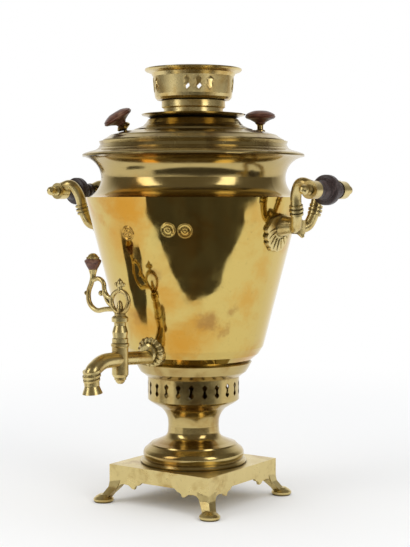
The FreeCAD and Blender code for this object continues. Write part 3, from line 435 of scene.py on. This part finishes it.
# %% Spun brass materials
def brass(name, colours, clouds_mm, rough, dents, rings, speck_and_shade_depth, stained=False):
    """A brass finish: clean, tarnished and dark colours, cloud size, mirror softness and relief.

    A stained one is the body's: spots at fixed places, and a satin neck with painted shade above the
    mirror cone.
    """
    material, tree, output = new_material(name)
    place = add(tree, "TexCoord").outputs["Object"]
    clean, warm, dark = (linear(code) for code in colours)
    tone = tarnished(tree, place, clean, warm, clouds_mm)
    if stained:
        neck = neck_share(tree, place)
        tone = stained_body(tree, place, tone, neck)
    # Dark specks, and painted shade in the nooks
    specked_shaded_tone, nook_shade = add_specks_and_nook_shade(tree, place, tone, dark, speck_and_shade_depth)
    rough_here = softness(tree, place, nook_shade, rough)
    if stained:
        rough_here = add(tree, "Math", {0: neck, 1: NECK_SOFTER, 2: rough_here},
                         operation="MULTIPLY_ADD").outputs[0]
    shader = add(tree, "BsdfPrincipled", {"Base Color": specked_shaded_tone, "Metallic": 1.0,
                                          "Roughness": rough_here,
                                          "Normal": spun_relief(tree, place, rings, dents)})
    tree.links.new(shader.outputs[0], output.inputs["Surface"])
    return material


mirror_brass = brass("spun mirror brass", ("CFB66A", "C89B48", "5A4A28"), clouds_mm=60,
                     rough=(0.04, 0.12), dents=0.8 * MM, rings=0.002 * MM, speck_and_shade_depth=0.30,
                     stained=True)
spun_brass = brass("spun polished brass", ("BFA96F", "A98A50", "483B22"), clouds_mm=34,
                   rough=(0.13, 0.22), dents=0.6 * MM, rings=0.003 * MM, speck_and_shade_depth=0.40)
satin_brass = brass("rubbed satin brass", ("DCC88E", "C9A965", "54462A"), clouds_mm=30,
                    rough=(0.20, 0.34), dents=0.5 * MM, rings=0.006 * MM, speck_and_shade_depth=0.40)
print(mirror_brass.name, "has", len(mirror_brass.node_tree.nodes), "nodes")

# %% [markdown]
# ## Dull, cast and sooty brass
# The lid and its rings were left unpolished for years, so they carry an even brown film that
# scatters the light. The plinth, tap and handle brackets are poured in sand. Their skin is paler
# and faintly grainy, filed and scratch-brushed, and every hollow is darkened with painted shade.
# The flue in the middle holds burning charcoal, so soot covers its brass and almost nothing shines.

# %% Dull, cast and sooty brass materials
dull_brass = brass("tarnished spun brass", ("C0AC76", "957D4E", "3A3020"), clouds_mm=40,
                   rough=(0.14, 0.26), dents=0.5 * MM, rings=0.006 * MM, speck_and_shade_depth=0.55)
cast_brass = brass("sand cast brass", ("DBC78A", "BCA062", "4A3E26"), clouds_mm=26,
                   rough=(0.26, 0.38), dents=0.4 * MM, rings=0.003 * MM, speck_and_shade_depth=0.50)
sooty_brass = brass("sooty brass", ("5A4C34", "3A3024", "14110E"), clouds_mm=24,
                    rough=(0.45, 0.65), dents=0.5 * MM, rings=0.006 * MM, speck_and_shade_depth=0.80)
print(dull_brass.name, cast_brass.name, sooty_brass.name, sep=", ")

# %% [markdown]
# ## Sooty iron
# The grate lies in the fire, so its iron is black with scale and soot and barely shines.

# %% Sooty iron material
SCALE_MM = 3
iron, tree, output = new_material("sooty cast iron")
place = add(tree, "TexCoord").outputs["Object"]
scale_noise = add(tree, "TexNoise", {"Vector": place, "Scale": 1 / (SCALE_MM * MM), "Detail": 6.0})
soot = add(tree, "Mix", {0: scale_noise.outputs["Fac"], 6: linear("1C1A18"), 7: linear("4A3A30")},
           data_type="RGBA")
pits = add(tree, "Bump", {"Height": scale_noise.outputs["Fac"], "Distance": 0.3 * MM})
shader = add(tree, "BsdfPrincipled", {"Base Color": soot.outputs[2], "Metallic": 0.6,
                                      "Roughness": 0.75, "Normal": pits.outputs[0]})
tree.links.new(shader.outputs[0], output.inputs["Surface"])
print(iron.name)

# %% [markdown]
# ## Turned wood
# The grips and knobs are turned from a close-grained hardwood, stained dark and waxed. Turning
# shows the growth rings as streaks along the grain, about a millimetre apart, and the wax gives a
# soft sheen that wears away where fingers hold it.

# %% Turned wood material
GRAIN_MM = 1.1
GRAIN_STRETCH = 0.12
RUB_MM = 9
WAX_WEAR = 0.2


def turned_wood(name, colours, grain_axes, shine):
    """A stained and waxed turned wood, its grain drawn out along each axis that is marked 1."""
    material, tree, output = new_material(name)
    place = add(tree, "TexCoord").outputs["Object"]
    deep, middle, worn = (linear(code) for code in colours)
    along = tuple(GRAIN_STRETCH if marked else 1.0 for marked in grain_axes)
    stretched = add(tree, "VectorMath", {0: place, 1: along}, operation="MULTIPLY")
    grain = add(tree, "TexNoise", {"Vector": stretched.outputs[0], "Scale": 1 / (GRAIN_MM * MM),
                                   "Detail": 5.0, "Roughness": 0.6})
    streak = add(tree, "MapRange", {"Value": grain.outputs["Fac"], "From Min": 0.35,
                                    "From Max": 0.65})
    tone = add(tree, "Mix", {0: streak.outputs["Result"], 6: deep, 7: middle}, data_type="RGBA")
    rub = add(tree, "TexNoise", {"Vector": place, "Scale": 1 / (RUB_MM * MM), "Detail": 3.0})
    wear = add(tree, "MapRange", {"Value": rub.outputs["Fac"], "From Min": 0.52, "From Max": 0.75,
                                  "To Max": 0.7})
    worn_tone = add(tree, "Mix", {0: wear.outputs["Result"], 6: tone.outputs[2], 7: worn},
                    data_type="RGBA")
    relief = add(tree, "Bump", {"Height": grain.outputs["Fac"], "Distance": 0.08 * MM})
    dryness = add(tree, "MapRange", {"Value": rub.outputs["Fac"], "From Min": 0.3,
                                     "From Max": 0.7, "To Min": shine, "To Max": shine + WAX_WEAR})
    shader = add(tree, "BsdfPrincipled", {"Base Color": worn_tone.outputs[2], "IOR": 1.5,
                                          "Roughness": dryness.outputs["Result"],
                                          "Normal": relief.outputs[0]})
    tree.links.new(shader.outputs[0], output.inputs["Surface"])
    return material


dark_wood = turned_wood("dark stained beech", ("241A19", "3F302D", "5E4C48"),
                        grain_axes=(0, 1, 0), shine=0.28)
red_wood = turned_wood("red stained beech", ("43231A", "6B432F", "8E6A50"),
                       grain_axes=(1, 1, 0), shine=0.28)
print(dark_wood.name, "and", red_wood.name)

# %% Give every CAD piece its finish
FINISHES = {"brass_polished": spun_brass, "brass_cast": cast_brass, "brass_dull": dull_brass,
            "iron": iron, "wood_dark": dark_wood, "wood_red": red_wood}
OWN_FINISHES = {"body_shell": mirror_brass, "crown_cup": satin_brass, "crown_collar": satin_brass,
                "fire_tube": sooty_brass}

for name, node in nodes.items():
    slot = node.material_slots[0]
    finish = FINISHES[slot.material.name.split(".")[0]]
    slot.material = OWN_FINISHES.get(name, finish)
print("finished", len(nodes), "pieces")

# %% [markdown]
# ## Stamped medallions
# Three small round medallions stand on the body. Each is plain, with concentric rings and a circle
# of dots. Its relief is worked out flat, as rings of points across, up and out from its middle, and
# then each point is laid on the body's cone, so that the medallion bends with the wall and stands
# less than half a millimetre proud of it.

# %% From a flat relief to the body's wall
# The samovar's front faces -Y, so it is turned this many degrees from +X
FRONT_TURN = -90.0


def on_wall(turn, height, across, up, lift):
    """Point on the body wall, in metres: sizes in mm across, up and out from a spot on it."""
    level = height + up * math.cos(WALL_LEAN)
    radius = WALL_LOW[0] + (level - WALL_LOW[1]) * math.tan(WALL_LEAN)
    angle = turn + across / radius
    reach = radius + lift * math.cos(WALL_LEAN)
    level -= lift * math.sin(WALL_LEAN)
    return Vector((reach * math.cos(angle), reach * math.sin(angle), level)) * MM


front_top = on_wall(math.radians(FRONT_TURN), WALL_HIGH[1], 0, 0, 0)
print("the front of the wall's top edge is at", [round(v, 4) for v in front_top], "m")

# %% Reliefs turned from a profile
def lathed(profile, count, middle=(0.0, 0.0)):
    """Closed relief turned from (reach, lift) corners: its points and faces, in mm."""
    tall = len(profile)
    points = []
    faces = [tuple(step * tall for step in range(count)),
             tuple(step * tall + tall - 1 for step in reversed(range(count)))]
    for step in range(count):
        turn = 2 * math.pi * step / count
        for reach, lift in profile:
            points.append((middle[0] + reach * math.cos(turn), middle[1] + reach * math.sin(turn),
                           lift))
        near = step * tall
        far = (step + 1) % count * tall
        faces += [(near + k, near + k + 1, far + k + 1, far + k) for k in range(tall - 1)]
    return points, faces


def ring_spots(count, reach, middle=(0.0, 0.0)):
    """Evenly spaced spots on a circle round a middle."""
    turns = [2 * math.pi * step / count for step in range(count)]
    return [(middle[0] + reach * math.cos(turn), middle[1] + reach * math.sin(turn))
            for turn in turns]


def dress(piece, finish, body):
    """Finish a new piece and let it ride on its body."""
    piece.data.materials.append(finish)
    scene.collection.objects.link(piece)
    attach(piece, body)
    return piece


def relief_piece(name, reliefs, settle, finish, body):
    """One smooth mesh of several reliefs, each point put in its place by settle."""
    points = []
    faces = []
    for relief_points, relief_faces in reliefs:
        start = len(points)
        points += [settle(*point) for point in relief_points]
        faces += [tuple(start + corner for corner in face) for face in relief_faces]
    mesh = bpy.data.meshes.new(name)
    mesh.from_pydata(points, [], faces)
    mesh.polygons.foreach_set("use_smooth", [True] * len(faces))
    print(name, "has", len(faces), "faces")
    return dress(bpy.data.objects.new(name, mesh), finish, body)


print("a turned ring of 4 steps has", len(lathed([(1, 0), (2, 0)], 4)[1]), "faces")

# %% Medallions
# Each spot: degrees from the front, and height in mm
MEDALLION_SPOTS = ((21.8, 310.9), (30.9, 309.9), (-3.0, 307.1))
# Profiles: distance from the middle and lift, in mm
MEDALLION = [(0.5, 0.45), (1.1, 0.35), (1.4, 0.06), (2.2, 0.06), (2.5, 0.35), (3.1, 0.35),
             (3.4, 0.06), (6.3, 0.06), (6.6, 0.42), (7.2, 0.42), (7.45, 0.1), (7.7, 0.1),
             (7.9, 0.36), (8.25, 0.3), (8.4, -0.5)]
DOT = [(0.2, 0.45), (0.45, 0.36), (0.65, 0.0), (0.65, -0.4)]
DOT_COUNT = 14
DOT_REACH = 4.9
FINE_STEPS = 72
DOT_STEPS = 12


def medallion(name, degrees, height):
    """One medallion on the body wall, at an angle from the front and a height."""
    turn = math.radians(FRONT_TURN) + math.radians(degrees)
    reliefs = [lathed(MEDALLION, FINE_STEPS)]
    reliefs += [lathed(DOT, DOT_STEPS, spot) for spot in ring_spots(DOT_COUNT, DOT_REACH)]

    def settle(across, up, lift):
        return on_wall(turn, height, across, up, lift)

    return relief_piece(name, reliefs, settle, mirror_brass, "samovar")


for number, (degrees, height) in enumerate(MEDALLION_SPOTS, start=1):
    medallion(f"medallion_{number}", degrees, height)

# %% [markdown]
# ## Chased veins, petals and rims
# The castings have chased relief: veins on the leaf behind each handle, and petals round the tap's
# rosette. The crown's shield-shaped holes have a pressed rim. All are ridges, most of which swell
# and fade, so each is a curve with a round bevel whose points have their own thickness, sunk partly
# into the metal below.

# %% Ridges
def ridges(name, paths, finish, body, closed=False):
    """One piece of raised lines: each path is a list of (point in mm, radius in mm)."""
    curve = bpy.data.curves.new(name, "CURVE")
    curve.dimensions = "3D"
    curve.bevel_depth = MM
    curve.bevel_resolution = 3
    curve.resolution_u = 6
    curve.use_fill_caps = not closed
    for path in paths:
        spline = curve.splines.new("NURBS")
        spline.points.add(len(path) - 1)
        for knot, (place, thick) in zip(spline.points, path):
            knot.co = (place[0] * MM, place[1] * MM, place[2] * MM, 1.0)
            knot.radius = thick
        spline.order_u = 2 if closed else 3
        spline.use_endpoint_u = not closed
        spline.use_cyclic_u = closed
    print(name, "has", len(paths), "ridges")
    return dress(bpy.data.objects.new(name, curve), finish, body)


print("a ridge of radius 1 is", 2 * MM, "m wide")

# %% Leaf veins behind the handles
LEAF_MIDDLE = 312.0
LEAF_SKIN = 4.0
# Each vein: degrees from straight down, and how far it reaches in mm
LEAF_VEINS = ((0, 25.0), (21, 24.0), (42, 22.6), (63, 21.4), (84, 20.6))
VEIN_START = 12.0
VEIN_BEND = 0.08
VEIN_LIFT = 0.1
# Share of the way along a vein, and its radius there in mm
VEIN_SWELL = ((0.0, 1.5), (0.35, 1.3), (0.7, 1.0), (1.0, 0.35))


def on_leaf(side, across, height, lift):
    """Point on a leaf's outer face, in mm."""
    radius = WALL_LOW[0] + (height - WALL_LOW[1]) * math.tan(WALL_LEAN) + LEAF_SKIN + lift
    return (side * math.sqrt(radius ** 2 - across ** 2), across, height)


def leaf_vein(side, turn, reach):
    """One vein from the handle's neck towards the leaf's edge, at an angle from straight down."""
    path = []
    for share, thick in VEIN_SWELL:
        out = VEIN_START + share * (reach - VEIN_START)
        angle = math.radians(turn * (1.0 - VEIN_BEND * share))
        height = LEAF_MIDDLE - out * math.cos(angle)
        path.append((on_leaf(side, out * math.sin(angle), height, VEIN_LIFT), thick))
    return path


for side, word in ((1, "right"), (-1, "left")):
    veins = []
    for turn, reach in LEAF_VEINS:
        veins.append(leaf_vein(side, turn, reach))
        if turn:
            veins.append(leaf_vein(side, -turn, reach))
    ridges(f"leaf_veins_{word}", veins, cast_brass, "samovar")

# %% Petals of the tap's rosette
ROSETTE_MIDDLE = Vector((0, -79.0, 177.0))
# Degrees that its axis is turned from straight up, towards the front and a little down
ROSETTE_LEAN = 98
ROSETTE_TILT = Matrix.Rotation(math.radians(ROSETTE_LEAN), 3, "X")
PETAL_COUNT = 16
# Points of a petal: distance from the rosette's axis, lift and radius, in mm
PETAL = ((11.2, 4.4, 0.9), (13.2, 4.6, 1.3), (15.0, 3.2, 1.6), (16.2, 1.6, 1.2))

petals = []
for step in range(PETAL_COUNT):
    turn = 2 * math.pi * (step + 0.5) / PETAL_COUNT
    path = []
    for reach, lift, thick in PETAL:
        spot = Vector((reach * math.cos(turn), reach * math.sin(turn), lift))
        path.append((ROSETTE_MIDDLE + ROSETTE_TILT @ spot, thick))
    petals.append(path)
ridges("rosette_petals", petals, cast_brass, "samovar")

# %% Rims of the crown's holes
# The cup's radius at the foot of its wall, that foot's height, and how fast it widens
CUP_WALL = (43.8, 461.0, 0.083)
HOLE_MIDDLE = 471.5
# Degrees from the front: where each group starts, and where its three holes are
HOLE_GROUPS = (0, 90, 180, 270)
HOLES_IN_GROUP = (26.0, 43.0, 60.0)
RIM_RADIUS = 0.6
# Points round a hole: across and up from its middle, in mm
HOLE_OUTLINE = ((0, -7.8), (3.8, -4.0), (2.8, 0), (3.8, 4.0), (0, 7.8), (-3.8, 4.0), (-2.8, 0),
                (-3.8, -4.0))


def hole_rim(degrees):
    """The rim of one hole, at an angle from the front."""
    path = []
    for across, up in HOLE_OUTLINE:
        level = HOLE_MIDDLE + up
        radius = CUP_WALL[0] + (level - CUP_WALL[1]) * CUP_WALL[2]
        angle = math.radians(degrees + FRONT_TURN) + across / radius
        path.append(((radius * math.cos(angle), radius * math.sin(angle), level), RIM_RADIUS))
    return path


rims = [hole_rim(group + turn) for group in HOLE_GROUPS for turn in HOLES_IN_GROUP]
ridges("crown_hole_rims", rims, satin_brass, "crown", closed=True)

# %% [markdown]
# ## Pearls on the key's cap
# A ring of eight small round pearls runs round the foot of the brass cap that holds the key's
# wooden knob. Each is turned from a half-round profile, as the medallions' dots are.

# %% Pearls
CAP_MIDDLE = (-36.8, -134.0, 280.4)
PEARL_COUNT = 8
PEARL_REACH = 5.9
PEARL_STEPS = 14
PEARL = [(0.3, 1.3), (0.9, 1.0), (1.25, 0.4), (1.3, -0.2), (0.9, -0.9), (0.3, -1.2)]


def on_cap(across, along, lift):
    """Point at the height of the pearls, in metres."""
    return Vector((across, along, CAP_MIDDLE[2] + lift)) * MM


pearls = [lathed(PEARL, PEARL_STEPS, spot)
          for spot in ring_spots(PEARL_COUNT, PEARL_REACH, CAP_MIDDLE)]
relief_piece("key_cap_pearls", pearls, on_cap, cast_brass, "tap_plug")

# %% [markdown]
# ## Last look
# The picture is shown with the Standard view transform.

# %% Settings and finish
scene.view_settings.view_transform = "Standard"
print("shown with the", scene.view_settings.view_transform, "view transform")
